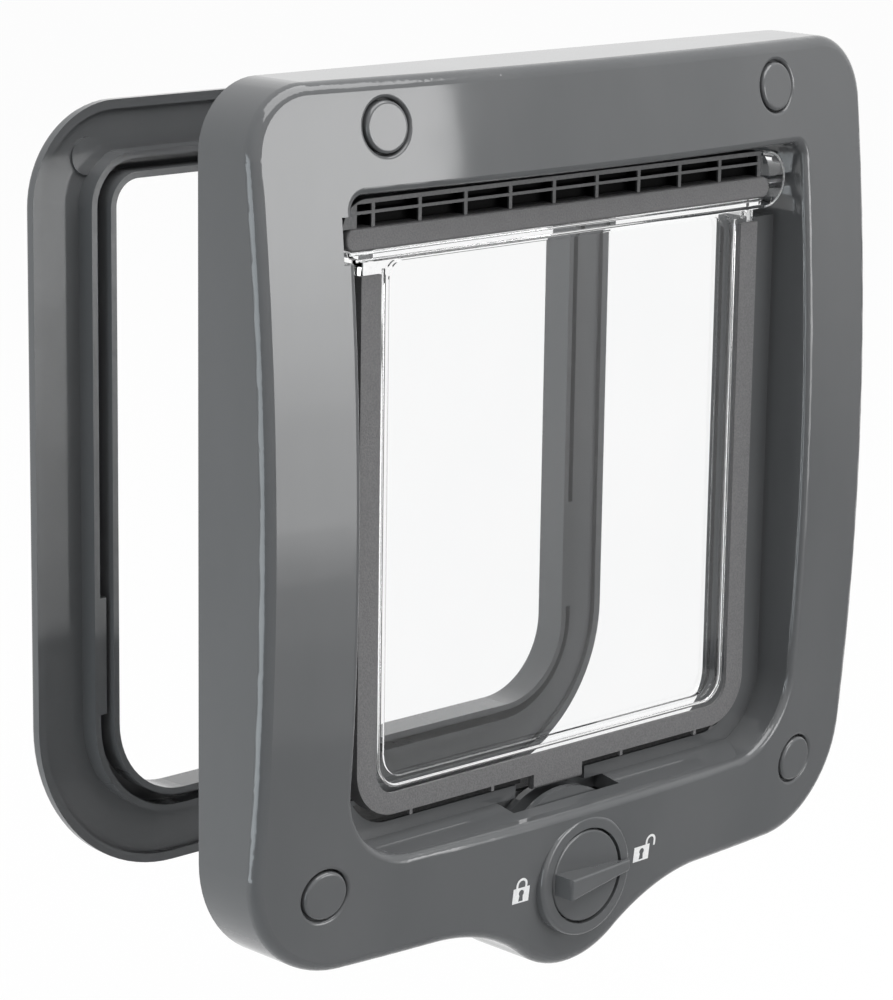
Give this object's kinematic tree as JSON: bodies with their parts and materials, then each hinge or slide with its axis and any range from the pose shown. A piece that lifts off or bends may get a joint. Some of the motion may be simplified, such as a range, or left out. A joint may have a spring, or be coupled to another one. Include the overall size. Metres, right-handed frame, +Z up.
{
  "type": "cat flap",
  "caption": "Pet door with a clear flap that swings both ways in a curved grey housing, a turning lock in the sill rail, and a separate frame for the outdoor side.",
  "frame": {"origin": "on the mid-line of the passage at the door's indoor face, 100 mm below the housing's top edge", "axes": "+X to the right and +Z up as seen from the room, +Y into the door towards the outdoor frame"},
  "size_m": [0.2, 0.0998, 0.22],
  "materials": {
    "grey_gloss": "satin-gloss moulded grey plastic",
    "grey_matte": "spark-textured matt grey plastic",
    "clear": "clear polished plastic",
    "steel": "plain steel"
  },
  "bodies": {
    "frame": {"housing": "grey_gloss", "outer_frame": "grey_gloss", "cap_top_left": "grey_gloss", "cap_top_right": "grey_gloss", "cap_bottom_left": "grey_gloss", "cap_bottom_right": "grey_gloss"},
    "flap": {"flap_panel": "clear", "flap_border": "grey_matte", "hinge_bar": "grey_matte", "header_grille": "grey_matte", "hinge_pin_left": "steel", "hinge_pin_right": "steel"},
    "lock": {"lock_knob": "grey_gloss", "cam_disc_front": "grey_gloss", "cam_disc_rear": "grey_gloss", "cam_washer": "steel", "cam_screw": "steel"}
  },
  "joints": [
    {"name": "flap_hinge", "type": "hinge", "parent": "frame", "child": "flap", "pos_m": [0, -0.0124, 0.0645], "axis": [1, 0, 0], "range_deg": [-85, 85]},
    {"name": "lock_turn", "type": "hinge", "parent": "frame", "child": "lock", "pos_m": [0, -0.0218, -0.0962], "axis": [0, -1, 0], "range_deg": [0, 180]}
  ]
}
